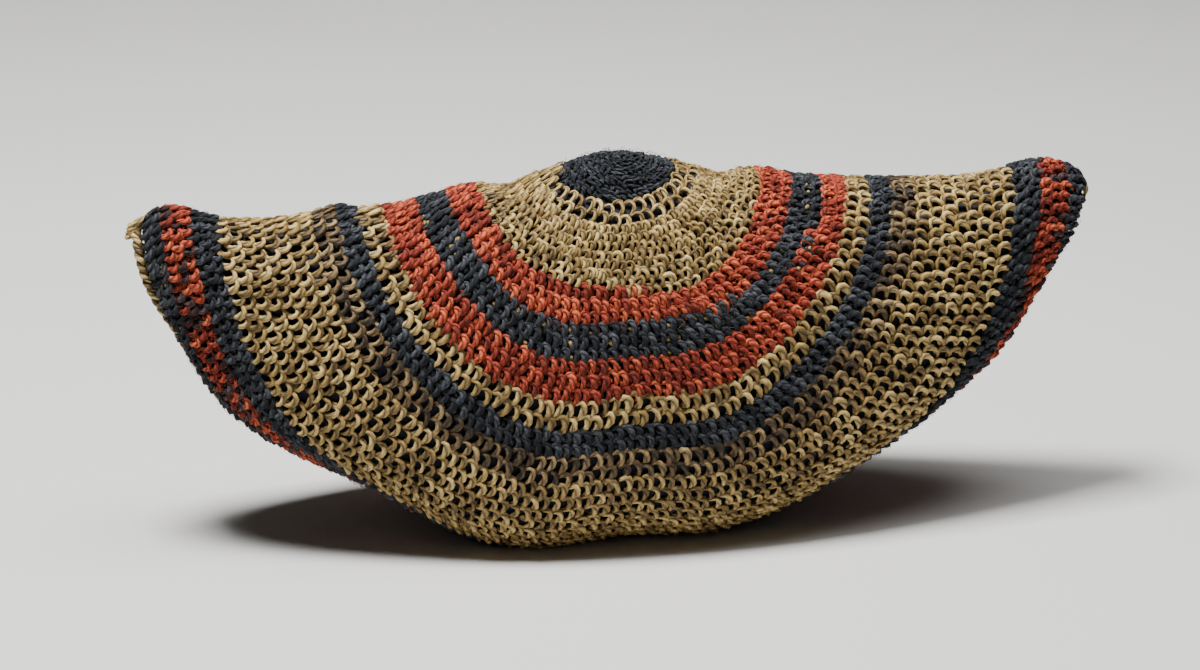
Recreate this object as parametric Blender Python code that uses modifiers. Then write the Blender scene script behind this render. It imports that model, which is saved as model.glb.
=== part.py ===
"""Round looped string bag, folded over its middle and lying on its belly.

Metres, +Z up. The bag is a round of looped string, worked from the middle of
its base out to the mouth. It hangs folded over its diameter like a half moon:
the fold runs along X on top, the two faces bulge to -Y and +Y, and the mouth
is the slot that runs underneath from tip to tip. The origin is on the surface
that the bag lies on, under the middle of its outer box.

A place on the string round is given as a reach, the distance worked from the
middle of the base, and a turn, the direction: -pi is the left tip, -pi / 2
the middle of the front face and 0 the right tip.
"""

import math

import bmesh
import bpy
from mathutils import Vector

COLLECTION_NAME = "string_bag"

# The round of string
RIDGE_RADIUS = 0.1765       # middle of the base to the mouth, along the fold
FACE_STRETCH = 0.15         # how much farther the fabric reaches down the face
WALL = 0.0035               # thickness of the looped fabric
SKEW = 0.015                # how much longer the right end is, and shorter the left
MIDDLE_X = -0.0008          # puts the outer box's middle over the origin

# The fold along the top: its height over the surface, then its rises and dips, each
# as its place from -1, the left tip, to 1, the right tip, its width and its height
RIDGE_LEVEL = 0.1215
LEAN = 0.003
BROAD_RISES = (
    (0.0, 0.38, 0.0105),
    (0.0, 0.135, 0.0064),
    (-0.915, 0.075, 0.0062),
    (0.88, 0.08, 0.0052),
)
SMALL_RISES = (
    (-0.7, 0.07, -0.0012),
    (-0.58, 0.035, 0.0012),
    (-0.46, 0.06, -0.0012),
    (-0.3, 0.06, 0.0015),
    (-0.215, 0.04, -0.002),
    (0.215, 0.04, -0.002),
    (0.3, 0.06, 0.0017),
)
SMALL_RISE_FADE = 0.045     # distance down the faces over which the small ones end
TIP_DROP_LEFT = 0.0017
TIP_DROP_RIGHT = 0.0035
TIP_DROP_START = 0.93

# How soon the faces turn from level to upright beside the fold
FOLD_MIDDLE = 0.037
FOLD_TIP = 0.006
FOLD_POWER = 1.1
FOLD_STEPS = 48

# The rim, which curls under the faces and stands up inside the mouth
CURL_START_TIP = 0.975
CURL_START_MIDDLE = 0.605
CURL_POWER_LEFT = 1.95
CURL_POWER_RIGHT = 1.35
CURL_EARLY_LEFT = 0.085     # how much sooner it starts halfway round the left side
CURL_EARLY_RIGHT = 0.042
DRAWN_IN_LEFT = 0.08        # how much the last rounds are drawn in halfway round the left
DRAWN_IN_START = 0.8
CURL_RADIUS_TIP = 0.008
CURL_RADIUS_MIDDLE = 0.036
CURL_RADIUS_POWER = 1.7
HEM_RADIUS = 0.005
HALF_MOUTH_TIP = 0.0035
HALF_MOUTH_MIDDLE = 0.007
CURL_FADE = 0.006           # where less room than this is left, the rim runs straight
SLOPE_STEP = 0.0001
SLOPE_TURN = 0.001

# Edging cord, worked round the mouth
EDGING_RADIUS = 0.0018
EDGING_GAP = 0.0008         # from the wall's last round, which bends inside the cord's
EDGING_STEPS = 56

# Fastened-off end of the edging at the left tip
KNOT_HEIGHT = 0.008
KNOT_DEPTH = 0.003          # along X
KNOT_WIDTH = 0.0055         # along Y
KNOT_LEAN = 0.3             # turn about Y, in radians
KNOT_RISE = 0.0015          # how far its middle stands over the edging's
KNOT_GAP = 0.0006
KNOT_SIDES = 16

# Mesh density
RING_STEPS = 24
RIM_CROWDING = 1.35         # 1 spaces the rows evenly, more crowds them to the rim
TURN_STEPS = 44
FOLD_CROWDING = 0.5         # 0 spaces the columns evenly, 1 crowds them to the fold


def ease(t):
    """Smooth step from 0 to 1."""
    t = min(max(t, 0.0), 1.0)
    return t * t * (3 - 2 * t)


def bump(value, place, width):
    """Rounded hump of height 1."""
    return math.exp(-(((value - place) / width) ** 2))


def rises_at(rises, place):
    """Heights of some rises and dips of the fold, added up at a place along it."""
    return sum(height * bump(place, middle, width) for middle, width, height in rises)


def ridge_height(place, down):
    """Height of the fold, as it shapes the fabric a distance down from it."""
    drop = TIP_DROP_RIGHT if place > 0 else TIP_DROP_LEFT
    fall = ease((abs(place) - TIP_DROP_START) / (1 - TIP_DROP_START))
    small = rises_at(SMALL_RISES, place) - drop * fall
    height = RIDGE_LEVEL + LEAN * place + rises_at(BROAD_RISES, place)
    return height + small * bump(down, 0, SMALL_RISE_FADE)


def fold_length(place):
    """Length over which a face turns down beside the fold."""
    inner = max(1 - place * place, 0.0)
    return FOLD_TIP + (FOLD_MIDDLE - FOLD_TIP) * inner ** FOLD_POWER


def fold_section(down, length):
    """Outward and downward travel of the fabric after a distance from the fold."""
    outward = 0.0
    downward = 0.0
    for step in range(FOLD_STEPS):
        part = down * (step + 0.5) / FOLD_STEPS
        slope = math.pi / 2 * math.exp(-part / length)
        outward += math.sin(slope)
        downward += math.cos(slope)
    return down * outward / FOLD_STEPS, down * downward / FOLD_STEPS


def side_share(turn):
    """0 at the tips and 1 at the middle of a face."""
    return abs(math.sin(turn))


def face_stretch(turn):
    """How much farther than along the fold the fabric reaches in this direction."""
    return 1 + FACE_STRETCH * side_share(turn) ** 2


def reach_scale(turn):
    """Length of fabric for each metre of reach."""
    return math.hypot(math.cos(turn), face_stretch(turn) * side_share(turn))


def face_point(reach, turn):
    """Point of the front face, left uncurled."""
    along = reach * math.cos(turn)
    down = reach * side_share(turn) * face_stretch(turn)
    place = along / RIDGE_RADIUS
    outward, downward = fold_section(down, fold_length(place))
    height = ridge_height(place, down) - downward
    return Vector((along * (1 + SKEW * place), -outward, height))


def halfway_share(turn):
    """0 at the tips and at the middle of a face, and 1 halfway between them."""
    return 2 * abs(math.cos(turn)) * side_share(turn)


def drawn_in(reach, turn):
    """Reach that is left where the last rounds are drawn in beside the left tip."""
    if math.cos(turn) > 0:
        return reach
    beyond = max(reach - DRAWN_IN_START * RIDGE_RADIUS, 0.0)
    return reach - beyond * DRAWN_IN_LEFT / (1 - DRAWN_IN_START) * halfway_share(turn) ** 4


def curl_start(turn):
    """Reach at which the rim starts to curl under."""
    if math.cos(turn) > 0:
        share = side_share(turn) ** CURL_POWER_RIGHT
        early = CURL_EARLY_RIGHT * halfway_share(turn) ** 2
    else:
        share = side_share(turn) ** CURL_POWER_LEFT
        early = CURL_EARLY_LEFT * halfway_share(turn) ** 4
    start = CURL_START_TIP + (CURL_START_MIDDLE - CURL_START_TIP) * share
    return RIDGE_RADIUS * (start - early)


def curl_frame(start, turn):
    """Directions down the face and out of it where the curl starts."""
    here = face_point(start, turn)
    tangent = (here - face_point(start - SLOPE_STEP, turn)).normalized()
    across = face_point(start, turn + SLOPE_STEP) - face_point(start, turn - SLOPE_STEP)
    outward = tangent.cross(across)
    if outward.length > 0:
        outward.normalize()
    if outward.y > 0:
        outward.negate()
    return tangent, outward


def curl_travel(length, room, turn):
    """Travel of the curled rim along the face's slope and inwards from it."""
    share = side_share(turn) ** CURL_RADIUS_POWER
    radius = CURL_RADIUS_TIP + (CURL_RADIUS_MIDDLE - CURL_RADIUS_TIP) * share
    radius = min(radius, max(room - HEM_RADIUS, room / 2))
    hem = min(HEM_RADIUS, room / 2)
    level = max(room - radius - hem, 0.0)
    curl_end = radius * math.pi / 2
    hem_end = curl_end + level + hem * math.pi / 2
    curl = min(length / radius, math.pi / 2)
    rise = min(max(length - curl_end - level, 0.0) / hem, math.pi / 2)
    along = radius * math.sin(curl) - hem * (1 - math.cos(rise)) - max(length - hem_end, 0.0)
    inward = radius * (1 - math.cos(curl)) + min(max(length - curl_end, 0.0), level)
    return along, inward + hem * math.sin(rise)


def bag_point(reach, turn):
    """Point of the front half's outer surface."""
    reach = drawn_in(reach, turn)
    start = curl_start(turn)
    point = face_point(min(reach, start), turn)
    if reach > start:
        depth = -point.y
        share = side_share(turn)
        half_mouth = HALF_MOUTH_TIP + (HALF_MOUTH_MIDDLE - HALF_MOUTH_TIP) * share
        room = max(depth - min(half_mouth, depth), SLOPE_STEP)
        length = (reach - start) * reach_scale(turn)
        along, inward = curl_travel(length, room, turn)
        curled = ease(room / CURL_FADE)
        tangent, outward = curl_frame(start, turn)
        point += tangent * (length + curled * (along - length)) - outward * curled * inward
    point.z = max(point.z, 0.0)
    point.x += MIDDLE_X
    return point


def turn_at(share):
    """Turn of a share of the way from the left tip to the right, closer beside the fold."""
    crowded = (1 - math.cos(math.pi * share)) / 2
    return math.pi * (share + FOLD_CROWDING * (crowded - share) - 1)


def new_material(name, colour, roughness):
    """Plain dyed string."""
    material = bpy.data.materials.new(name)
    material.use_nodes = True
    shader = material.node_tree.nodes["Principled BSDF"]
    shader.inputs["Base Color"].default_value = (*colour, 1.0)
    shader.inputs["Roughness"].default_value = roughness
    shader.inputs["Metallic"].default_value = 0.0
    return material


def add_object(name, data, material, collection):
    """Link a named object with its own material to the bag's collection."""
    data.materials.append(material)
    item = bpy.data.objects.new(name, data)
    collection.objects.link(item)
    return item


def front_half(reach_limit):
    """Open sheet of the front half, from the middle of the base out to a reach."""
    mesh = bpy.data.meshes.new("bag_wall")
    shape = bmesh.new()
    bmesh.ops.create_grid(shape, x_segments=TURN_STEPS, y_segments=RING_STEPS, size=0.5)
    for vertex in shape.verts:
        turn = turn_at(0.5 + vertex.co.x)
        reach = reach_limit * (1 - (0.5 - vertex.co.y) ** RIM_CROWDING)
        vertex.co = bag_point(reach, turn)
        if abs(math.sin(turn)) < SLOPE_STEP:
            vertex.co.y = 0.0
    bmesh.ops.remove_doubles(shape, verts=shape.verts, dist=0.00001)
    bmesh.ops.recalc_face_normals(shape, faces=shape.faces)
    front = min(shape.faces, key=lambda face: face.calc_center_median().y)
    if front.normal.y > 0:
        bmesh.ops.reverse_faces(shape, faces=shape.faces)
    shape.to_mesh(mesh)
    shape.free()
    mesh.shade_smooth()
    return mesh


def make_wall(collection, reach):
    """The looped wall: front half, mirrored to the back and thickened inwards."""
    material = new_material("looped_string", (0.55, 0.42, 0.22), 0.85)
    wall = add_object("bag_wall", front_half(reach), material, collection)
    mirror = wall.modifiers.new("back_half", "MIRROR")
    mirror.use_axis = (False, True, False)
    mirror.merge_threshold = 0.0001
    solidify = wall.modifiers.new("wall_thickness", "SOLIDIFY")
    solidify.thickness = WALL
    solidify.offset = -1.0
    return wall


def edging_point(reach, turn):
    """Middle of the edging cord beside the wall's last round."""
    rim = bag_point(reach, turn)
    heading = (rim - bag_point(reach - EDGING_RADIUS, turn)).normalized()
    near = min(max(turn, 2 * SLOPE_TURN - math.pi), -2 * SLOPE_TURN)
    aside = bag_point(reach, near + SLOPE_TURN) - bag_point(reach, near - SLOPE_TURN)
    outward = heading.cross(aside).normalized()
    point = rim + heading * (EDGING_GAP + EDGING_RADIUS) - outward * WALL / 2
    if side_share(turn) < SLOPE_STEP:
        point.y = 0.0
    return point


def make_edging(collection, reach):
    """Beige cord worked once round the mouth."""
    front = [edging_point(reach, turn_at(step / EDGING_STEPS)) for step in range(EDGING_STEPS + 1)]
    back = [Vector((point.x, -point.y, point.z)) for point in front[-2:0:-1]]
    curve = bpy.data.curves.new("mouth_edging", "CURVE")
    curve.dimensions = "3D"
    curve.bevel_depth = EDGING_RADIUS
    curve.bevel_resolution = 2
    spline = curve.splines.new("POLY")
    spline.points.add(len(front) + len(back) - 1)
    for target, point in zip(spline.points, front + back):
        target.co = (*point, 1.0)
    spline.use_cyclic_u = True
    material = new_material("edging_string", (0.66, 0.52, 0.28), 0.75)
    return add_object("mouth_edging", curve, material, collection)


def make_knot(collection, reach):
    """Fastened-off end of the edging, on the outside of it at the left tip."""
    mesh = bpy.data.meshes.new("edging_knot")
    shape = bmesh.new()
    bmesh.ops.create_uvsphere(shape, u_segments=KNOT_SIDES, v_segments=KNOT_SIDES // 2, radius=0.5)
    bmesh.ops.scale(shape, vec=(KNOT_DEPTH, KNOT_WIDTH, KNOT_HEIGHT), verts=shape.verts)
    shape.to_mesh(mesh)
    shape.free()
    mesh.shade_smooth()
    material = new_material("knot_string", (0.66, 0.52, 0.28), 0.75)
    knot = add_object("edging_knot", mesh, material, collection)
    knot.location = edging_point(reach, -math.pi)
    knot.location.x -= EDGING_RADIUS + KNOT_GAP + KNOT_DEPTH / 2
    knot.location.z += KNOT_RISE
    knot.rotation_euler = (0.0, KNOT_LEAN, 0.0)
    return knot


def main():
    for item in list(bpy.data.objects):
        bpy.data.objects.remove(item, do_unlink=True)
    collection = bpy.data.collections.new(COLLECTION_NAME)
    bpy.context.scene.collection.children.link(collection)
    wall_reach = RIDGE_RADIUS - 2 * EDGING_RADIUS - EDGING_GAP
    make_wall(collection, wall_reach)
    make_edging(collection, wall_reach)
    make_knot(collection, wall_reach)


main()
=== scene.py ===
"""Looks of the round looped string bag, stitch by stitch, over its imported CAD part."""

import math

import bpy
import numpy as np
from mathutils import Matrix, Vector


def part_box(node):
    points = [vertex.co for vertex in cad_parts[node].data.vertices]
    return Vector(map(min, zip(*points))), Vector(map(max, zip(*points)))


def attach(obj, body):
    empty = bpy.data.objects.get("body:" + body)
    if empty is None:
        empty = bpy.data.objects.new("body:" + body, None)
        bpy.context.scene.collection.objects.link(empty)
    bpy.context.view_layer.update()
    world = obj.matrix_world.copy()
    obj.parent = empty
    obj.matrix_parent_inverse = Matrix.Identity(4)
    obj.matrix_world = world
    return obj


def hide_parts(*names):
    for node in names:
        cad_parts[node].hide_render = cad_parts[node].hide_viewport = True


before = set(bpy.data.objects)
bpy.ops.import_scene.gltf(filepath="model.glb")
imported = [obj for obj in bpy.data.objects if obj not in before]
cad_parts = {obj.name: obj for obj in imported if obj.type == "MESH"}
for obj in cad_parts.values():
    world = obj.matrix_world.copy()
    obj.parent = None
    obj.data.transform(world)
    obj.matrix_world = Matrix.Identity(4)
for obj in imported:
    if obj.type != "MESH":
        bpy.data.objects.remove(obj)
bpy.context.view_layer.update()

SEED = 41

# The bag's outer surface, with the same named values as the CAD source
RIDGE_RADIUS = 0.1765
FACE_STRETCH = 0.15
WALL = 0.0035
SKEW = 0.015
MIDDLE_X = -0.0008
RIDGE_LEVEL = 0.1215
LEAN = 0.003
BROAD_RISES = (
    (0.0, 0.38, 0.0105),
    (0.0, 0.135, 0.0064),
    (-0.915, 0.075, 0.0062),
    (0.88, 0.08, 0.0052),
)
SMALL_RISES = (
    (-0.7, 0.07, -0.0012),
    (-0.58, 0.035, 0.0012),
    (-0.46, 0.06, -0.0012),
    (-0.3, 0.06, 0.0015),
    (-0.215, 0.04, -0.002),
    (0.215, 0.04, -0.002),
    (0.3, 0.06, 0.0017),
)
SMALL_RISE_FADE = 0.045
TIP_DROP_LEFT = 0.0017
TIP_DROP_RIGHT = 0.0035
TIP_DROP_START = 0.93
FOLD_MIDDLE = 0.037
FOLD_TIP = 0.006
FOLD_POWER = 1.1
CURL_START_TIP = 0.975
CURL_START_MIDDLE = 0.605
CURL_POWER_LEFT = 1.95
CURL_POWER_RIGHT = 1.35
CURL_EARLY_LEFT = 0.085
CURL_EARLY_RIGHT = 0.042
DRAWN_IN_LEFT = 0.08
DRAWN_IN_START = 0.8
CURL_RADIUS_TIP = 0.008
CURL_RADIUS_MIDDLE = 0.036
CURL_RADIUS_POWER = 1.7
HEM_RADIUS = 0.005
HALF_MOUTH_TIP = 0.0035
HALF_MOUTH_MIDDLE = 0.007
CURL_FADE = 0.006
SLOPE_STEP = 0.0001
EDGING_RADIUS = 0.0018
EDGING_GAP = 0.0008
WALL_REACH = RIDGE_RADIUS - 2 * EDGING_RADIUS - EDGING_GAP

# Distances, in fold lengths, over which the turn of the fold is added up once
FOLD_PARTS = np.linspace(0.0, 40.0, 16001)
FRAME_STEP = 0.0004         # for slopes of the surface, in metres
CENTRE_TURN = 0.3           # widest turn used for slopes near the middle of the round
SHORTEST = 1e-12            # least length that a direction is divided by

# Bands of the bag: name, yarn, stitch, inner and outer reach as shares of the radius,
# rounds, stitch pitch and yarn radius
BANDS = (
    ("middle_navy", "navy", "grain", 0.000, 0.122, 12, 0.0021, 0.00062),
    ("first_string", "string", "loop", 0.122, 0.168, 2, 0.0038, 0.00088),
    ("inner_string", "string", "loop", 0.168, 0.291, 8, 0.0029, 0.00102),
    ("first_red", "red", "wool", 0.291, 0.352, 3, 0.0036, 0.00114),
    ("first_navy", "specked_navy", "wool", 0.352, 0.413, 3, 0.0036, 0.00114),
    ("second_red", "red", "wool", 0.413, 0.480, 3, 0.0038, 0.00118),
    ("second_string", "string", "loop", 0.480, 0.530, 2, 0.0042, 0.00124),
    ("second_navy", "navy", "wool", 0.530, 0.573, 2, 0.0038, 0.00116),
    ("mixed_rounds", "mixed", "loop", 0.573, 0.622, 2, 0.0042, 0.00120),
    ("wide_string_inner", "string", "loop", 0.622, 0.720, 4, 0.0041, 0.00114),
    ("wide_string_outer", "string", "loop", 0.720, 0.818, 4, 0.0041, 0.00114),
    ("third_navy", "navy", "wool", 0.818, 0.873, 3, 0.0039, 0.00112),
    ("third_red", "mottled_red", "wool", 0.873, 0.933, 3, 0.0039, 0.00112),
    ("rim_navy", "specked_navy", "wool", 0.933, 0.969, 2, 0.0039, 0.00106),
)

# Points of each loop: along the round in pitches, outwards in rounds, height in
# millimetres and share of the yarn's radius. First the arched loop of string
STRING_LOOP = (
    (-0.62, -0.28, -0.50, 0.70),
    (-0.36, -0.42, 0.15, 0.92),
    (-0.06, -0.50, 0.55, 1.02),
    (0.22, -0.44, 0.80, 1.10),
    (0.38, -0.18, 0.95, 1.16),
    (0.38, 0.14, 0.85, 1.14),
    (0.24, 0.42, 0.45, 1.02),
    (0.04, 0.62, -0.20, 0.82),
    (-0.14, 0.74, -0.95, 0.50),
)
# Arched loop of wool
WOOL_LOOP = (
    (-0.56, -0.36, -0.30, 0.70),
    (-0.26, -0.50, 0.35, 0.95),
    (0.08, -0.46, 0.80, 1.10),
    (0.28, -0.16, 1.00, 1.16),
    (0.30, 0.22, 0.85, 1.08),
    (0.20, 0.58, 0.35, 0.88),
    (0.06, 0.88, -0.50, 0.42),
)
# Short stroke of yarn in the hole of a wool loop
WOOL_DOT = (
    (-0.36, -0.10, -0.55, 0.75),
    (-0.22, 0.10, 0.20, 0.92),
    (-0.10, 0.34, -0.50, 0.75),
)
# Slanting grain of wool, in the fine rounds of the middle
WOOL_GRAIN = (
    (-0.55, -0.50, -0.60, 0.40),
    (-0.22, -0.28, 0.40, 0.90),
    (0.08, 0.00, 0.70, 1.10),
    (0.34, 0.30, 0.35, 0.90),
    (0.58, 0.58, -0.60, 0.40),
)
# Loops of each kind of stitch, with the number of points along each
STITCHES = {
    "loop": ((STRING_LOOP, 9),),
    "wool": ((WOOL_LOOP, 8), (WOOL_DOT, 3)),
    "grain": ((WOOL_GRAIN, 6),),
}
YARN_DEPTH = 0.00115        # middle of the yarn under the CAD surface
MILLIMETRES = 1000          # in a metre
FEWEST_STITCHES = 5         # in a round
TUBE_SIDES = 5
TUBE_END = 0.5              # how far a tube's ends stand out, as a share of its radius
YARN_FLATNESS = 0.9         # thickness of the yarn as a share of its width
STRING_SIDES = 8
STRING_PLIES = 2
STRING_TWIST = 0.0065       # length of string between one ply's crossing and the next's
STRING_GROOVE = 0.42        # depth of the grooves between its plies, as a share of the radius
WOOL_PLIES = 3
WOOL_TWIST = 0.0028         # length of wool between one ply's crossing and the next's

# Specks: beige ones among the small dots of the specked navy, where whole loops are kept
# plain by a limit under the specks' tones, and navy stitches in the mottled red
SPECK_SHARE = 0.20
LOOP_TONE_LIMIT = 0.98 - SPECK_SHARE
MOTTLE_SHARE = 0.28

# The inner rounds are one spiral: the reach and turn where it steps from one round to the
# next, how that turn moves on with each radius of reach, and where the step fades away
SPIRAL_REACH = 0.291
SPIRAL_TURN = -math.pi / 2
SPIRAL_ADVANCE = 9.0
SPIRAL_FADE_START = 0.6
SPIRAL_FADE_LENGTH = 0.3

# Unevenness by hand, as shares of the pitch, the round and the thickness
ALONG_JITTER = 0.09
OUT_JITTER = 0.09
HEIGHT_JITTER = 0.20
RADIUS_JITTER = 0.11
LEAN_JITTER = 0.16
GRAIN_TURN = 0.9            # how far the small wool grains turn every way

UNDER_DEPTH = 0.0023        # dark carried yarn behind the loops
UNDER_TURNS = 180           # its points round the bag
UNDER_RINGS = 70            # its rings of points from the middle to the rim


def ease(t):
    """Smooth step from 0 to 1."""
    t = np.clip(t, 0.0, 1.0)
    return t * t * (3 - 2 * t)


def bump(value, place, width):
    """Rounded hump of height 1."""
    return np.exp(-(((value - place) / width) ** 2))


def rises_at(rises, place):
    """Heights of some rises and dips of the fold, added up at a place along it."""
    return sum(height * bump(place, middle, width) for middle, width, height in rises)


def ridge_height(place, down):
    """Height of the fold, as it shapes the fabric a distance down from it."""
    drop = np.where(place > 0, TIP_DROP_RIGHT, TIP_DROP_LEFT)
    fall = ease((np.abs(place) - TIP_DROP_START) / (1 - TIP_DROP_START))
    small = rises_at(SMALL_RISES, place) - drop * fall
    height = RIDGE_LEVEL + LEAN * place + rises_at(BROAD_RISES, place)
    return height + small * bump(down, 0, SMALL_RISE_FADE)


def fold_table():
    """Outward and downward travel, in fold lengths, at each of the FOLD_PARTS."""
    step = FOLD_PARTS[1] - FOLD_PARTS[0]
    slope = math.pi / 2 * np.exp(-(FOLD_PARTS[:-1] + step / 2))
    outward = np.concatenate([[0.0], np.cumsum(np.sin(slope)) * step])
    downward = np.concatenate([[0.0], np.cumsum(np.cos(slope)) * step])
    return outward, downward


FOLD_OUTWARD, FOLD_DOWNWARD = fold_table()


def fold_section(down, length):
    """Outward and downward travel of the fabric after a distance from the fold."""
    part = down / length
    outward = np.interp(part, FOLD_PARTS, FOLD_OUTWARD) * length
    downward = np.interp(part, FOLD_PARTS, FOLD_DOWNWARD) * length
    return outward, downward


def fold_length(place):
    """Length over which a face turns down beside the fold."""
    inner = np.maximum(1 - place * place, 0.0)
    return FOLD_TIP + (FOLD_MIDDLE - FOLD_TIP) * inner ** FOLD_POWER


def side_share(turn):
    """0 at the tips and 1 at the middle of a face."""
    return np.abs(np.sin(turn))


def face_stretch(turn):
    """How much farther than along the fold the fabric reaches in this direction."""
    return 1 + FACE_STRETCH * side_share(turn) ** 2


def reach_scale(turn):
    """Length of fabric for each metre of reach."""
    return np.hypot(np.cos(turn), face_stretch(turn) * side_share(turn))


def face_point(reach, turn):
    """Points of the front face, left uncurled."""
    along = reach * np.cos(turn)
    down = reach * side_share(turn) * face_stretch(turn)
    place = along / RIDGE_RADIUS
    outward, downward = fold_section(down, fold_length(place))
    height = ridge_height(place, down) - downward
    return np.stack([along * (1 + SKEW * place), -outward, height], axis=-1)


def halfway_share(turn):
    """0 at the tips and at the middle of a face, and 1 halfway between them."""
    return 2 * np.abs(np.cos(turn)) * side_share(turn)


def drawn_in(reach, turn):
    """Reach that is left where the last rounds are drawn in beside the left tip."""
    beyond = np.maximum(reach - DRAWN_IN_START * RIDGE_RADIUS, 0.0)
    share = np.where(np.cos(turn) > 0, 0.0, DRAWN_IN_LEFT * halfway_share(turn) ** 4)
    return reach - beyond * share / (1 - DRAWN_IN_START)


def unit(vectors):
    """The vectors at length 1."""
    length = np.linalg.norm(vectors, axis=-1, keepdims=True)
    return vectors / np.maximum(length, SHORTEST)


def curl_start(turn):
    """Reach at which the rim starts to curl under."""
    right = np.cos(turn) > 0
    share = side_share(turn) ** np.where(right, CURL_POWER_RIGHT, CURL_POWER_LEFT)
    early_right = CURL_EARLY_RIGHT * halfway_share(turn) ** 2
    early_left = CURL_EARLY_LEFT * halfway_share(turn) ** 4
    start = CURL_START_TIP + (CURL_START_MIDDLE - CURL_START_TIP) * share
    return RIDGE_RADIUS * (start - np.where(right, early_right, early_left))


def curl_frame(start, turn):
    """Directions down the face and out of it where the curl starts."""
    here = face_point(start, turn)
    tangent = unit(here - face_point(start - SLOPE_STEP, turn))
    across = face_point(start, turn + SLOPE_STEP) - face_point(start, turn - SLOPE_STEP)
    outward = unit(np.cross(tangent, across))
    return tangent, np.where(outward[..., 1:2] > 0, -outward, outward)


def curl_travel(length, room, turn):
    """Travel of the curled rim along the face's slope and inwards from it."""
    share = side_share(turn) ** CURL_RADIUS_POWER
    radius = CURL_RADIUS_TIP + (CURL_RADIUS_MIDDLE - CURL_RADIUS_TIP) * share
    radius = np.minimum(radius, np.maximum(room - HEM_RADIUS, room / 2))
    hem = np.minimum(HEM_RADIUS, room / 2)
    level = np.maximum(room - radius - hem, 0.0)
    curl_end = radius * math.pi / 2
    hem_end = curl_end + level + hem * math.pi / 2
    curl = np.minimum(length / radius, math.pi / 2)
    rise = np.minimum(np.maximum(length - curl_end - level, 0.0) / hem, math.pi / 2)
    along = radius * np.sin(curl) - hem * (1 - np.cos(rise)) - np.maximum(length - hem_end, 0.0)
    inward = radius * (1 - np.cos(curl)) + np.minimum(np.maximum(length - curl_end, 0.0), level)
    return along, inward + hem * np.sin(rise)


def surface(reach, turn):
    """Points of the outer surface. Turns over 0 are the back half, under 0 the front."""
    turn = (turn + math.pi) % (2 * math.pi) - math.pi
    side = np.where(turn > 0, -1.0, 1.0)
    turn = -np.clip(np.abs(turn), 2 * SLOPE_STEP, math.pi - 2 * SLOPE_STEP)
    reach = drawn_in(reach, turn)
    start = curl_start(turn)
    point = face_point(np.minimum(reach, start), turn)
    depth = -point[..., 1]
    share = side_share(turn)
    half_mouth = HALF_MOUTH_TIP + (HALF_MOUTH_MIDDLE - HALF_MOUTH_TIP) * share
    room = np.maximum(depth - np.minimum(half_mouth, depth), SLOPE_STEP)
    length = np.maximum(reach - start, 0.0) * reach_scale(turn)
    along, inward = curl_travel(length, room, turn)
    curled = ease(room / CURL_FADE)
    tangent, outward = curl_frame(start, turn)
    point = point + tangent * (length + curled * (along - length))[..., None]
    point = point - outward * (curled * inward)[..., None]
    point[..., 0] += MIDDLE_X
    point[..., 1] *= side
    point[..., 2] = np.maximum(point[..., 2], 0.0)
    return point


def surface_frame(reach, turn):
    """Points of the outer surface and the directions straight out of it."""
    reach = np.maximum(reach, 2 * FRAME_STEP)
    step = np.minimum(FRAME_STEP / reach, CENTRE_TURN)
    down = surface(reach + FRAME_STEP, turn) - surface(reach - FRAME_STEP, turn)
    across = surface(reach, turn + step) - surface(reach, turn - step)
    return surface(reach, turn), unit(np.cross(down, across))


def smooth_path(keys, count):
    """Rows of a loop's table, filled in with a curve to the given number of rows."""
    keys = np.array(keys)
    padded = np.concatenate([2 * keys[:1] - keys[1:2], keys, 2 * keys[-1:] - keys[-2:-1]])
    places = np.linspace(0, len(keys) - 1, count)
    first = np.minimum(places.astype(int), len(keys) - 2)
    t = (places - first)[:, None]
    a, b, c, d = (padded[first + shift] for shift in range(4))
    bend = -a + 3 * b - 3 * c + d
    return 0.5 * (2 * b + (c - a) * t + (2 * a - 5 * b + 4 * c - d) * t ** 2 + bend * t ** 3)


def put(name, data):
    """New object of the scene with the given data."""
    item = bpy.data.objects.new(name, data)
    bpy.context.scene.collection.objects.link(item)
    return item


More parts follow.
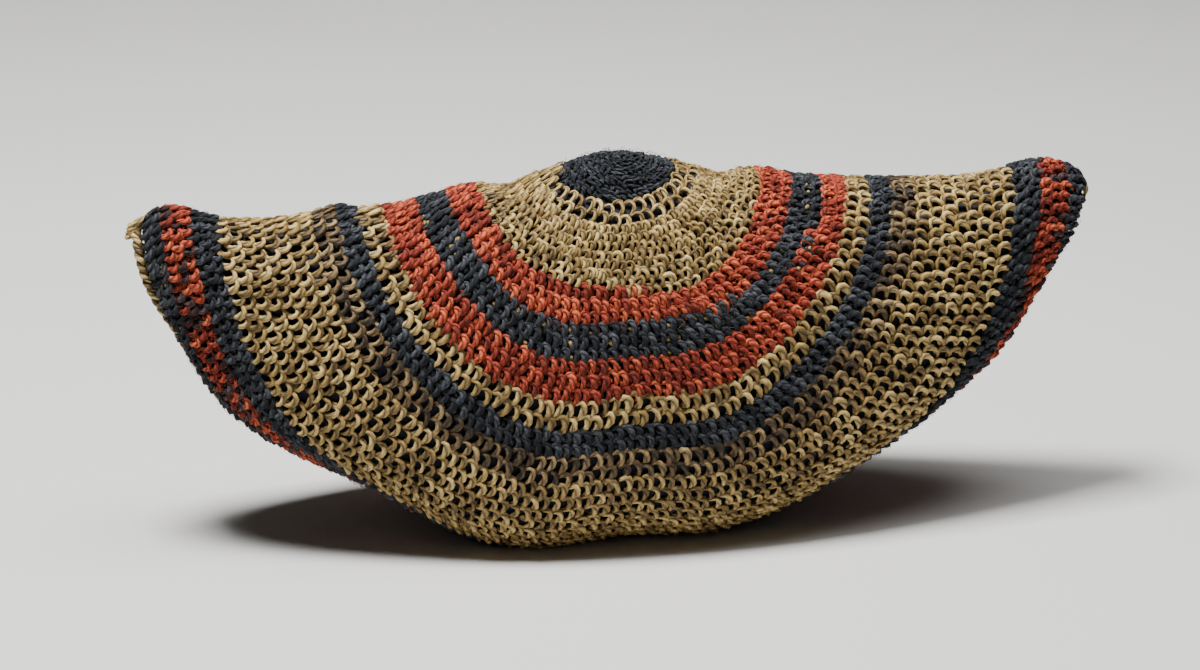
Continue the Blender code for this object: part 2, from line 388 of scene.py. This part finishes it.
class Strands:
    """Tubes of yarn gathered into one mesh."""

    def __init__(self, name, sides=TUBE_SIDES, groove=0.0):
        self.name = name
        self.sides = sides
        self.groove = groove
        self.points = []
        self.quads = []
        self.ends = []
        self.coords = []
        self.tones = []
        self.count = 0

    def add(self, centres, outwards, radii, tones):
        """Tubes along centres[strand, point], each with a radius at each point and a tone."""
        strands, steps = centres.shape[:2]
        tangents = unit(np.gradient(centres, axis=1))
        across = unit(np.cross(outwards, tangents))
        upwards = np.cross(tangents, across)
        travel = np.linalg.norm(np.diff(centres, axis=1), axis=2)
        lengths = np.concatenate([np.zeros((strands, 1)), np.cumsum(travel, axis=1)], axis=1)
        angles = np.arange(self.sides) * 2 * math.pi / self.sides
        reach = radii[..., None] * self.ply_shape(lengths, angles, tones)
        wide = across[:, :, None] * (reach * np.cos(angles))[..., None]
        high = upwards[:, :, None] * (reach * np.sin(angles))[..., None] * YARN_FLATNESS
        rings = centres[:, :, None] + wide + high
        heads = centres[:, :1] - tangents[:, :1] * radii[:, :1, None] * TUBE_END
        tails = centres[:, -1:] + tangents[:, -1:] * radii[:, -1:, None] * TUBE_END
        block = np.concatenate([rings.reshape(strands, -1, 3), heads, tails], axis=1)
        block[..., 2] = np.maximum(block[..., 2], 0.0)
        self.points.append(block.reshape(-1, 3))
        self.add_sides(strands, steps, lengths)
        self.add_ends(strands, steps)
        self.tones.append(np.repeat(tones, block.shape[1], axis=0))
        self.count += strands * block.shape[1]

    def ply_shape(self, lengths, angles, tones):
        """Share of the radius at each point round a strand, less in the string's grooves."""
        winding = lengths[..., None] / STRING_TWIST + STRING_PLIES * angles / (2 * math.pi)
        winding = winding + tones[:, 1][:, None, None]
        return 1 - self.groove * (1 - np.abs(np.sin(math.pi * winding)))

    def add_sides(self, strands, steps, lengths):
        """Faces along the tubes, with the length along and the share round as their UV."""
        base = self.count + np.arange(strands)[:, None, None] * (steps * self.sides + 2)
        step = np.arange(steps - 1)[None, :, None] * self.sides
        side = np.arange(self.sides)[None, None, :]
        after = (side + 1) % self.sides
        corners = [step + side, step + after, step + self.sides + after, step + self.sides + side]
        self.quads.append(np.stack([base + corner for corner in corners], axis=-1).reshape(-1, 4))
        near = np.broadcast_to(lengths[:, :-1, None], (strands, steps - 1, self.sides))
        far = np.broadcast_to(lengths[:, 1:, None], near.shape)
        low = np.broadcast_to(side / self.sides, near.shape)
        high = low + 1 / self.sides
        uv = np.stack([near, low, near, high, far, high, far, low], axis=-1)
        self.coords.append(uv.reshape(-1, 2))

    def add_ends(self, strands, steps):
        """Faces that close both ends of each tube."""
        base = self.count + np.arange(strands)[:, None] * (steps * self.sides + 2)
        side = np.arange(self.sides)[None, :]
        after = (side + 1) % self.sides
        last = base + (steps - 1) * self.sides
        pole = base + steps * self.sides
        head = np.stack(np.broadcast_arrays(pole, base + after, base + side), axis=-1)
        tail = np.stack(np.broadcast_arrays(pole + 1, last + side, last + after), axis=-1)
        self.ends.append(np.concatenate([head, tail]).reshape(-1, 3))

    def make_mesh(self):
        """Mesh of the gathered tubes, with the faces of their ends last."""
        points = np.concatenate(self.points)
        quads = np.concatenate(self.quads)
        ends = np.concatenate(self.ends)
        mesh = bpy.data.meshes.new(self.name)
        mesh.vertices.add(len(points))
        mesh.vertices.foreach_set("co", points.astype(np.float32).ravel())
        mesh.loops.add(quads.size + ends.size)
        corners = np.concatenate([quads.ravel(), ends.ravel()]).astype(np.int32)
        mesh.loops.foreach_set("vertex_index", corners)
        mesh.polygons.add(len(quads) + len(ends))
        starts = np.concatenate([np.arange(len(quads)) * 4, quads.size + np.arange(len(ends)) * 3])
        mesh.polygons.foreach_set("loop_start", starts.astype(np.int32))
        mesh.update(calc_edges=True)
        mesh.shade_smooth()
        return mesh

    def build(self, material):
        """The gathered tubes as one object, with UV that is zero on the faces of the ends."""
        mesh = self.make_mesh()
        uv = np.concatenate(self.coords)
        uv = np.concatenate([uv, np.zeros((len(mesh.loops) - len(uv), 2))])
        layer = mesh.uv_layers.new(name="yarn")
        layer.data.foreach_set("uv", uv.astype(np.float32).ravel())
        tones = mesh.attributes.new("tone", "FLOAT_COLOR", "POINT")
        tones.data.foreach_set("color", np.concatenate(self.tones).astype(np.float32).ravel())
        mesh.materials.append(material)
        return put(self.name, mesh)


def loop_paths(keys, count, reaches, turns, row, spread, radius, lean, chance):
    """Centres, outward directions and radii of a loop set at each reach and turn."""
    path = smooth_path(keys, count)
    number = len(turns)
    lean = chance.normal(0, lean, (number, 1))
    along = path[:, 0] + chance.normal(0, ALONG_JITTER, (number, 1)) + lean * path[:, 1]
    outer = path[:, 1] + chance.normal(0, OUT_JITTER, (number, 1))
    height = path[:, 2] + chance.normal(0, HEIGHT_JITTER, (number, 1))
    reach = np.maximum(reaches[:, None] + outer * row, 2 * FRAME_STEP)
    point, outward = surface_frame(reach, turns[:, None] + along * spread)
    centre = point + outward * (height / MILLIMETRES - YARN_DEPTH)[..., None]
    radii = radius * path[:, 3] * (1 + chance.normal(0, RADIUS_JITTER, (number, 1)))
    return centre, outward, radii


def round_turns(reach, pitch, shift):
    """Turn of each stitch of one round, and the turn from one stitch to the next."""
    number = max(int(round(2 * math.pi * reach / pitch)), FEWEST_STITCHES)
    spread = 2 * math.pi / number
    return (np.arange(number) + shift) * spread, spread


def stitch_tones(number, chance):
    """Random values of each stitch: its lightness, the start of its twist and its speck."""
    tones = chance.random((number, 4))
    tones[:, 3] = 1.0
    return tones


def spiral_rise(reach, turns, row):
    """How far each stitch of a round lies out, as the inner rounds are one spiral."""
    step = SPIRAL_TURN + SPIRAL_ADVANCE * (reach / RIDGE_RADIUS - SPIRAL_REACH)
    done = ((turns - step) % (2 * math.pi)) / (2 * math.pi)
    faded = ease((reach / RIDGE_RADIUS - SPIRAL_FADE_START) / SPIRAL_FADE_LENGTH)
    return (0.5 - done) * row * (1 - faded)


def make_band(name, yarn, stitch, inner, outer, rounds, pitch, radius, materials, chance):
    """All the stitches of one band of the bag."""
    strands = Strands(name, STRING_SIDES, STRING_GROOVE) if stitch == "loop" else Strands(name)
    row = (outer - inner) * RIDGE_RADIUS / rounds
    middle = (inner + outer) / 2 * RIDGE_RADIUS
    for number in range(rounds):
        reach = inner * RIDGE_RADIUS + (number + 0.5) * row
        counted = middle if stitch == "loop" else reach
        turns, spread = round_turns(counted, pitch, 0.5 * (number % 2))
        reaches = reach + spiral_rise(reach, turns, row)
        tones = stitch_tones(len(turns), chance)
        for keys, count in STITCHES[stitch]:
            lean = GRAIN_TURN if stitch == "grain" else LEAN_JITTER
            paths = loop_paths(keys, count, reaches, turns, row, spread, radius, lean, chance)
            chosen = tones.copy()
            if keys is WOOL_LOOP:
                chosen[:, 2] = np.minimum(chosen[:, 2], LOOP_TONE_LIMIT)
            strands.add(*paths, chosen)
    return strands.build(materials[yarn])


def under_points():
    """Points of the carried yarn, ring after ring outwards, with its middle last."""
    reaches = np.linspace(0.0, 1.0, UNDER_RINGS + 1)[1:] * WALL_REACH
    turns = np.arange(UNDER_TURNS) * 2 * math.pi / UNDER_TURNS
    grid_reach, grid_turn = np.meshgrid(reaches, turns, indexing="ij")
    point, outward = surface_frame(grid_reach, grid_turn)
    rings = point - outward * UNDER_DEPTH
    middle, _ = surface_frame(np.array([0.0]), np.array([-math.pi / 2]))
    centre = [[middle[0, 0], 0.0, middle[0, 2] - UNDER_DEPTH]]
    return np.concatenate([rings.reshape(-1, 3), centre])


def under_faces():
    """Faces of the carried yarn, as corners among its points."""
    middle = UNDER_TURNS * UNDER_RINGS
    faces = []
    for turn in range(UNDER_TURNS):
        after = (turn + 1) % UNDER_TURNS
        faces.append((middle, turn, after))
        for ring in range(UNDER_RINGS - 1):
            near = ring * UNDER_TURNS
            far = near + UNDER_TURNS
            faces.append((near + turn, far + turn, far + after, near + after))
    return faces


def make_under(material):
    """Dark yarn carried behind the loops, as one sheet of cloth."""
    mesh = bpy.data.meshes.new("carried_yarn")
    mesh.from_pydata(under_points().tolist(), [], under_faces())
    mesh.shade_smooth()
    mesh.materials.append(material)
    return put("carried_yarn", mesh)


def edging_line(turns):
    """Middle of the edging at each turn of the front half."""
    rim, outward = surface_frame(np.full(len(turns), WALL_REACH), turns)
    heading = unit(rim - surface(np.full(len(turns), WALL_REACH - EDGING_RADIUS), turns))
    return rim + heading * (EDGING_GAP + EDGING_RADIUS) - outward * WALL / 2


def close_line(line):
    """The line with its first point again at the end, and the distance along it."""
    closed = np.concatenate([line, line[:1]])
    steps = np.linalg.norm(np.diff(closed, axis=0), axis=1)
    return closed, np.concatenate([[0.0], np.cumsum(steps)])


def resample(line, count):
    """A closed line with its points an even distance apart."""
    closed, travel = close_line(line)
    places = np.linspace(0, travel[-1], count)
    return np.stack([np.interp(places, travel, closed[:, axis]) for axis in range(3)], axis=1)


EDGING_SAMPLES = 400        # points along the front half, before they are spaced evenly
EDGING_PITCH = 0.0075       # length of edging in which its strands go once round
EDGING_POINTS_PER_TURN = 9
EDGING_STRAND = 0.00110     # radius of each strand
EDGING_OFFSET = 0.00095     # how far each strand lies from the middle of the edging
EDGING_THIN_START = 0.152   # beyond this X, at the right tip, the edging grows thinner
EDGING_THIN_LENGTH = 0.016
EDGING_THINNING = 0.5       # share of its thickness that is taken away at the tip
EDGING_TUCK = 0.0028        # how far it moves in where it would be thinned to nothing


def mouth_outline():
    """Middle of the edging once round the mouth."""
    front = edging_line(-math.pi + math.pi * np.linspace(0.0, 1.0, EDGING_SAMPLES))
    front[[0, -1], 1] = 0.0
    back = front[-2:0:-1] * np.array([1.0, -1.0, 1.0])
    return np.concatenate([front, back])


def make_edging(material, chance):
    """Two strands of string laid round each other along the mouth."""
    outline = mouth_outline()
    _, travel = close_line(outline)
    coils = int(travel[-1] / EDGING_PITCH)
    line = resample(outline, coils * EDGING_POINTS_PER_TURN + 1)
    ahead = unit(np.gradient(line, axis=0))
    level = unit(np.cross(ahead, np.array([0.0, 0.0, 1.0])))
    above = np.cross(level, ahead)
    angle = np.linspace(0, 2 * math.pi * coils, len(line))
    thickness = 1 - EDGING_THINNING * ease((line[:, 0] - EDGING_THIN_START) / EDGING_THIN_LENGTH)
    line[:, 0] -= EDGING_TUCK * (1 - thickness)
    strands = Strands("mouth_edging_strands")
    for phase in (0.0, math.pi):
        aside = np.cos(angle + phase)[:, None] * level + np.sin(angle + phase)[:, None] * above
        centres = (line + aside * EDGING_OFFSET * thickness[:, None])[None]
        radii = (EDGING_STRAND * thickness)[None]
        strands.add(centres, aside[None], radii, stitch_tones(1, chance))
    return strands.build(material)


KNOT_COILS = 4
KNOT_POINTS = 56
KNOT_REACH = 0.0024         # half the width of the coil along X
KNOT_SPREAD = 0.0022        # half its width along Y
KNOT_SHIFT = 0.0034         # how far its middle lies in from the stand-in's, round the edging
KNOT_SLANT = 0.45           # how far each coil climbs across, as a share of its width
KNOT_CLIMB = 0.72           # height of the coil as a share of the stand-in's
KNOT_DROP = 0.0016          # how far its middle lies under the stand-in's
KNOT_LEAN = 0.3             # how far it leans along X, as a share of its climb
KNOT_STRAND = 0.00095       # radius of its string


def make_knot(material, chance):
    """Fastened-off end of the edging: string wound round the edging's tip."""
    low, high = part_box("edging_knot")
    middle = (low + high) / 2
    share = np.linspace(0, 1, KNOT_POINTS)
    angle = share * KNOT_COILS * 2 * math.pi
    climb = (share - 0.5) * (high.z - low.z) * KNOT_CLIMB
    across = KNOT_REACH * np.cos(angle)
    line = np.stack([
        middle.x + KNOT_SHIFT + across + climb * KNOT_LEAN,
        middle.y + KNOT_SPREAD * np.sin(angle),
        middle.z - KNOT_DROP + climb + across * KNOT_SLANT,
    ], axis=1)
    outward = unit(np.stack([np.cos(angle), np.sin(angle), 0 * angle], axis=1))
    strands = Strands("edging_knot_coil")
    radii = np.full((1, KNOT_POINTS), KNOT_STRAND)
    strands.add(line[None], outward[None], radii, stitch_tones(1, chance))
    return strands.build(material)


FUZZ_POINTS = 4
FUZZ_SIDES = 3
FUZZ_RADIUS = 0.00007
FUZZ_LENGTH = 0.0036
FUZZ_LENGTH_SHARES = (0.5, 1.3)     # shortest and longest fibre, as shares of the length
FUZZ_RISES = (0.0005, 0.0016)       # how far the flattest and the highest fibre stand out
FUZZ_ARCH = 0.8             # share of a half wave that the rise follows along a fibre
FUZZ_BEND = 0.8             # usual turn from one end of a fibre to the other, in radians
FUZZ_NEAREST = 0.004        # least reach by which a fibre's run round the bag is divided
FUZZ_SPACE = 0.0000100      # square metres of wool for each loose fibre
STRING_FUZZ_SHARE = 0.08    # fibres on string, as a share of those on wool


def make_fuzz(name, stitch, inner, outer, material, chance):
    """Loose fibres that stand out of one band's yarn."""
    area = math.pi * RIDGE_RADIUS ** 2 * (outer ** 2 - inner ** 2)
    number = int(area / FUZZ_SPACE * (STRING_FUZZ_SHARE if stitch == "loop" else 1))
    reach = RIDGE_RADIUS * np.sqrt(chance.uniform(inner ** 2, outer ** 2, number))
    turn = chance.uniform(-math.pi, math.pi, number)
    heading = chance.uniform(0, 2 * math.pi, number)
    length = FUZZ_LENGTH * chance.uniform(*FUZZ_LENGTH_SHARES, number)
    rise = chance.uniform(*FUZZ_RISES, number)
    share = np.linspace(0, 1, FUZZ_POINTS)
    bend = heading[:, None] + chance.normal(0, FUZZ_BEND, (number, 1)) * share
    along = np.cumsum(np.cos(bend), axis=1) / FUZZ_POINTS * length[:, None]
    outer_way = np.cumsum(np.sin(bend), axis=1) / FUZZ_POINTS * length[:, None]
    path_reach = np.clip(reach[:, None] + outer_way, 2 * FRAME_STEP, WALL_REACH)
    path_turn = turn[:, None] + along / np.maximum(reach, FUZZ_NEAREST)[:, None]
    point, outward = surface_frame(path_reach, path_turn)
    height = rise[:, None] * np.sin(share * math.pi * FUZZ_ARCH)
    centres = point + outward * height[..., None]
    strands = Strands(name + "_fuzz", FUZZ_SIDES)
    radii = np.full((number, FUZZ_POINTS), FUZZ_RADIUS)
    strands.add(centres, outward, radii, stitch_tones(number, chance))
    return strands.build(material)


MIX_INPUTS = (0, 6, 7)      # a colour mix node's sockets for the share and the two colours
MIX_OUTPUT = 2


class Nodes:
    """Short way to lay out a material's nodes."""

    def __init__(self, name):
        self.material = bpy.data.materials.new(name)
        self.material.use_nodes = True
        self.tree = self.material.node_tree
        self.shader = self.tree.nodes["Principled BSDF"]

    def add(self, kind, **settings):
        """New node with the given settings."""
        node = self.tree.nodes.new(kind)
        for key, value in settings.items():
            setattr(node, key, value)
        return node

    def link(self, source, target):
        """Join an output to an input."""
        self.tree.links.new(source, target)

    def math(self, operation, first, second=None):
        """Result of some arithmetic on numbers or outputs."""
        node = self.add("ShaderNodeMath", operation=operation)
        for place, value in enumerate((first, second)):
            if value is None:
                continue
            if isinstance(value, (int, float)):
                node.inputs[place].default_value = value
            else:
                self.link(value, node.inputs[place])
        return node.outputs[0]

    def mix(self, share, first, second, blend="MIX"):
        """Mix of two colours by a share, which may be a number."""
        node = self.add("ShaderNodeMix", data_type="RGBA", blend_type=blend)
        for place, value in zip(MIX_INPUTS, (share, first, second)):
            if isinstance(value, (int, float)):
                node.inputs[place].default_value = value
            else:
                self.link(value, node.inputs[place])
        return node.outputs[MIX_OUTPUT]


FIBRE_LENGTH = 0.0020       # length of a fine streak
FIBRES_ROUND = 11           # fine streaks round the yarn
STREAK_SHIFT = 40.0         # how far apart the streaks of two stitches can lie
STREAK_DETAIL = 4
STREAK_ROUGHNESS = 0.65
STREAK_RELIEF = 1.2         # height of the streaks as a share of the plies'
PATCH_SCALE = 95
PATCH_DETAIL = 3
TONE_WEIGHT = 0.42          # how much a stitch's own lightness counts
PATCH_WEIGHT = 0.3          # how much the soft patches count
TONE_START = 0.2            # lightness before the tone, the patches and the streaks
RAMP_PLACES = (0.3, 0.56, 0.82)     # lightness of the dark, the middle and the light colour
PLY_ROUNDNESS = 0.8         # power that the plies' height is raised to
SHEEN_ROUGHNESS = 0.5
SPECULAR_LEVEL = 0.35


def yarn_coordinates(nodes):
    """Distance along the yarn, share of the way round it, and its three random tones."""
    uv = nodes.add("ShaderNodeUVMap", uv_map="yarn")
    parts = nodes.add("ShaderNodeSeparateXYZ")
    nodes.link(uv.outputs[0], parts.inputs[0])
    tone = nodes.add("ShaderNodeAttribute", attribute_name="tone")
    tones = nodes.add("ShaderNodeSeparateColor")
    nodes.link(tone.outputs[0], tones.inputs[0])
    return parts.outputs[0], parts.outputs[1], tones.outputs


def fibre_streaks(nodes, along, around, tones):
    """Fine streaks that run along the yarn, different in each stitch."""
    place = nodes.add("ShaderNodeCombineXYZ")
    nodes.link(nodes.math("MULTIPLY", along, 1 / FIBRE_LENGTH), place.inputs[0])
    nodes.link(nodes.math("MULTIPLY", around, FIBRES_ROUND), place.inputs[1])
    nodes.link(nodes.math("MULTIPLY", tones[1], STREAK_SHIFT), place.inputs[2])
    streaks = nodes.add("ShaderNodeTexNoise")
    streaks.inputs["Scale"].default_value = 1.0
    streaks.inputs["Detail"].default_value = STREAK_DETAIL
    streaks.inputs["Roughness"].default_value = STREAK_ROUGHNESS
    nodes.link(place.outputs[0], streaks.inputs["Vector"])
    return streaks.outputs[0]


def patchy_tone(nodes):
    """Soft patches in space, to make the dye uneven."""
    place = nodes.add("ShaderNodeNewGeometry")
    patches = nodes.add("ShaderNodeTexNoise")
    patches.inputs["Scale"].default_value = PATCH_SCALE
    patches.inputs["Detail"].default_value = PATCH_DETAIL
    nodes.link(place.outputs["Position"], patches.inputs["Vector"])
    return patches.outputs[0]


def colour_ramp(nodes, share, dark, middle, light):
    """Colour from dark to light by a share."""
    ramp = nodes.add("ShaderNodeValToRGB")
    first, centre, last = RAMP_PLACES
    ramp.color_ramp.elements[0].position = first
    ramp.color_ramp.elements[0].color = (*dark, 1)
    ramp.color_ramp.elements[1].position = last
    ramp.color_ramp.elements[1].color = (*light, 1)
    ramp.color_ramp.elements.new(centre).color = (*middle, 1)
    nodes.link(share, ramp.inputs[0])
    return ramp.outputs[0]


def ply_height(nodes, along, around, start, yarn):
    """Height of plies wound round each other: 0 in their grooves and 1 on their backs. It sets
    both the painted shade in the grooves and the bumps.
    """
    winding = nodes.math("MULTIPLY", along, 1 / yarn["twist"])
    winding = nodes.math("ADD", winding, nodes.math("MULTIPLY", around, yarn["plies"]))
    winding = nodes.math("MULTIPLY", nodes.math("ADD", winding, start), math.pi)
    wave = nodes.math("ABSOLUTE", nodes.math("SINE", winding))
    return nodes.math("POWER", wave, PLY_ROUNDNESS)


def yarn_lightness(nodes, tone, streaks, streak):
    """Share from dark to light, by the stitch's own tone, soft patches and fine streaks."""
    share = nodes.math("MULTIPLY", tone, TONE_WEIGHT)
    share = nodes.math("ADD", share, nodes.math("MULTIPLY", patchy_tone(nodes), PATCH_WEIGHT))
    share = nodes.math("ADD", share, nodes.math("MULTIPLY", streaks, streak))
    return nodes.math("ADD", share, TONE_START - streak / 2)


def add_bumps(nodes, height, depth):
    """Bumps of the surface by a height, at a depth in metres."""
    bumps = nodes.add("ShaderNodeBump")
    bumps.inputs["Strength"].default_value = 1.0
    bumps.inputs["Distance"].default_value = depth
    nodes.link(height, bumps.inputs["Height"])
    nodes.link(bumps.outputs[0], nodes.shader.inputs["Normal"])


def yarn_material(name, colours, yarn, speck=None):
    """Twisted yarn of one kind in three colours, from dark to light.

    A speck is a share of the stitches with three colours of their own.
    """
    nodes = Nodes(name)
    along, around, tones = yarn_coordinates(nodes)
    height = ply_height(nodes, along, around, tones[1], yarn)
    streaks = fibre_streaks(nodes, along, around, tones)
    share = yarn_lightness(nodes, tones[0], streaks, yarn["streak"])
    colour = colour_ramp(nodes, share, *colours)
    if speck:
        speck_share, speck_colours = speck
        chosen = nodes.math("GREATER_THAN", tones[2], 1 - speck_share)
        colour = nodes.mix(chosen, colour, colour_ramp(nodes, share, *speck_colours))
    # Painted shade: the colour is darkened in the grooves between the plies, down to the yarn's
    # groove brightness
    shade = nodes.math("MULTIPLY", height, 1 - yarn["groove"])
    shade = nodes.math("ADD", shade, yarn["groove"])
    colour = nodes.mix(1.0, colour, shade, "MULTIPLY")
    nodes.link(colour, nodes.shader.inputs["Base Color"])
    relief = nodes.math("ADD", height, nodes.math("MULTIPLY", streaks, STREAK_RELIEF))
    add_bumps(nodes, relief, yarn["depth"])
    nodes.shader.inputs["Roughness"].default_value = yarn["roughness"]
    nodes.shader.inputs["Sheen Weight"].default_value = yarn["sheen"]
    nodes.shader.inputs["Sheen Roughness"].default_value = SHEEN_ROUGHNESS
    nodes.shader.inputs["Sheen Tint"].default_value = (*colours[2], 1)
    nodes.shader.inputs["Specular IOR Level"].default_value = SPECULAR_LEVEL
    return nodes.material


def plain_material(name, colour, roughness):
    """Even matt colour."""
    nodes = Nodes(name)
    nodes.shader.inputs["Base Color"].default_value = (*colour, 1)
    nodes.shader.inputs["Roughness"].default_value = roughness
    return nodes.material


STRING_COLOURS = ((0.14, 0.080, 0.022), (0.40, 0.262, 0.080), (0.77, 0.555, 0.22))
RED_COLOURS = ((0.11, 0.012, 0.007), (0.40, 0.043, 0.021), (0.78, 0.155, 0.060))
NAVY_COLOURS = ((0.004, 0.005, 0.007), (0.019, 0.022, 0.028), (0.075, 0.082, 0.095))
MIXED_COLOURS = ((0.018, 0.012, 0.006), (0.15, 0.090, 0.034), (0.44, 0.30, 0.125))
UNDER_COLOUR = (0.012, 0.013, 0.020)
UNDER_ROUGHNESS = 0.95

# Kinds of yarn. The groove is the brightness that the painted shade leaves between the plies, the
# streak is the strength of the fine streaks, and the depth is that of the bumps, in metres
STRING_YARN = {
    "twist": STRING_TWIST,
    "plies": STRING_PLIES,
    "groove": 0.12,
    "streak": 0.85,
    "roughness": 0.5,
    "sheen": 0.08,
    "depth": 0.0006,
}
WOOL_YARN = {
    "twist": WOOL_TWIST,
    "plies": WOOL_PLIES,
    "groove": 0.22,
    "streak": 1.2,
    "roughness": 0.9,
    "sheen": 0.3,
    "depth": 0.0007,
}


def make_materials():
    """Materials of the yarns by their short names."""
    beige = (SPECK_SHARE, STRING_COLOURS)
    navy = (MOTTLE_SHARE, NAVY_COLOURS)
    return {
        "string": yarn_material("looped_beige_string", STRING_COLOURS, STRING_YARN),
        "red": yarn_material("looped_red_wool", RED_COLOURS, WOOL_YARN),
        "navy": yarn_material("looped_navy_wool", NAVY_COLOURS, WOOL_YARN),
        "specked_navy": yarn_material("looped_specked_navy_wool", NAVY_COLOURS, WOOL_YARN, beige),
        "mottled_red": yarn_material("looped_mottled_red_wool", RED_COLOURS, WOOL_YARN, navy),
        "mixed": yarn_material("looped_mixed_yarn", MIXED_COLOURS, STRING_YARN),
        "under": plain_material("carried_dark_yarn", UNDER_COLOUR, UNDER_ROUGHNESS),
    }


CAMERA_YAW = 8.0
CAMERA_ELEVATION = 20.0
CAMERA_DISTANCE = 1.04
CAMERA_TARGET = (-0.00055, 0.0, 0.066)
CAMERA_LENS = 85.0
CAMERA_SENSOR = 36.0
TARGET_PIXEL = (616.0, 343.0)   # where the camera's target lies in the photograph
IMAGE_SIZE = (1200.0, 670.0)


def make_camera():
    """Camera at the photograph's angle."""
    yaw = math.radians(CAMERA_YAW)
    rise = math.radians(CAMERA_ELEVATION)
    level = math.cos(rise)
    back = Vector((-math.sin(yaw) * level, -math.cos(yaw) * level, math.sin(rise)))
    data = bpy.data.cameras.new("photo_camera")
    data.lens = CAMERA_LENS
    data.sensor_width = CAMERA_SENSOR
    data.shift_x = (IMAGE_SIZE[0] / 2 - TARGET_PIXEL[0]) / IMAGE_SIZE[0]
    data.shift_y = (TARGET_PIXEL[1] - IMAGE_SIZE[1] / 2) / IMAGE_SIZE[0]
    camera = put("photo_camera", data)
    camera.location = Vector(CAMERA_TARGET) + back * CAMERA_DISTANCE
    camera.rotation_mode = "QUATERNION"
    camera.rotation_quaternion = (-back).to_track_quat("-Z", "Y")
    bpy.context.scene.camera = camera


FLOOR_CORNERS = ((-6.0, -6.0, 0.0), (6.0, -6.0, 0.0), (6.0, 6.0, 0.0), (-6.0, 6.0, 0.0))
FLOOR_COLOUR = (0.62, 0.61, 0.595)
FLOOR_ROUGHNESS = 0.9


def make_floor():
    """Plain pale floor."""
    mesh = bpy.data.meshes.new("floor")
    mesh.from_pydata(FLOOR_CORNERS, [], [(0, 1, 2, 3)])
    mesh.materials.append(plain_material("pale_floor", FLOOR_COLOUR, FLOOR_ROUGHNESS))
    floor = put("floor", mesh)


WORLD_STRENGTH = 0.055
# Lamps: name, place, width and power
LAMPS = (
    ("key_light", (-0.32, -0.07, 1.45), 0.4, 50.0),
    ("top_light", (0.30, -0.05, 1.4), 0.7, 11.0),
)


def add_light(name, place, size, power):
    """Soft square lamp aimed at the bag."""
    data = bpy.data.lights.new(name, "AREA")
    data.shape = "SQUARE"
    data.size = size
    data.energy = power
    lamp = put(name, data)
    lamp.location = place
    lamp.rotation_mode = "QUATERNION"
    lamp.rotation_quaternion = (Vector(CAMERA_TARGET) - Vector(place)).to_track_quat("-Z", "Y")


def make_lights():
    """Soft studio light, strongest from above and the left."""
    world = bpy.data.worlds.new("studio")
    world.use_nodes = True
    background = world.node_tree.nodes["Background"]
    background.inputs["Color"].default_value = (1.0, 1.0, 1.0, 1.0)
    background.inputs["Strength"].default_value = WORLD_STRENGTH
    bpy.context.scene.world = world
    for lamp in LAMPS:
        add_light(*lamp)


def main():
    """Every piece of the bag, then the stage."""
    chance = np.random.default_rng(SEED)
    materials = make_materials()
    under = make_under(materials["under"])
    pieces = []
    for values in BANDS:
        band = make_band(*values, materials, chance)
        pieces.append(band)
    for name, yarn, stitch, inner, outer, *_ in BANDS:
        fuzz = make_fuzz(name, stitch, inner, outer, materials[yarn], chance)
        pieces.append(fuzz)
    edging = make_edging(materials["string"], chance)
    knot = make_knot(materials["string"], chance)
    for piece in [under, edging, knot] + pieces:
        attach(piece, "root")
    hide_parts("bag_wall")
    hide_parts("mouth_edging")
    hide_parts("edging_knot")
    make_floor()
    make_lights()
    make_camera()


main()
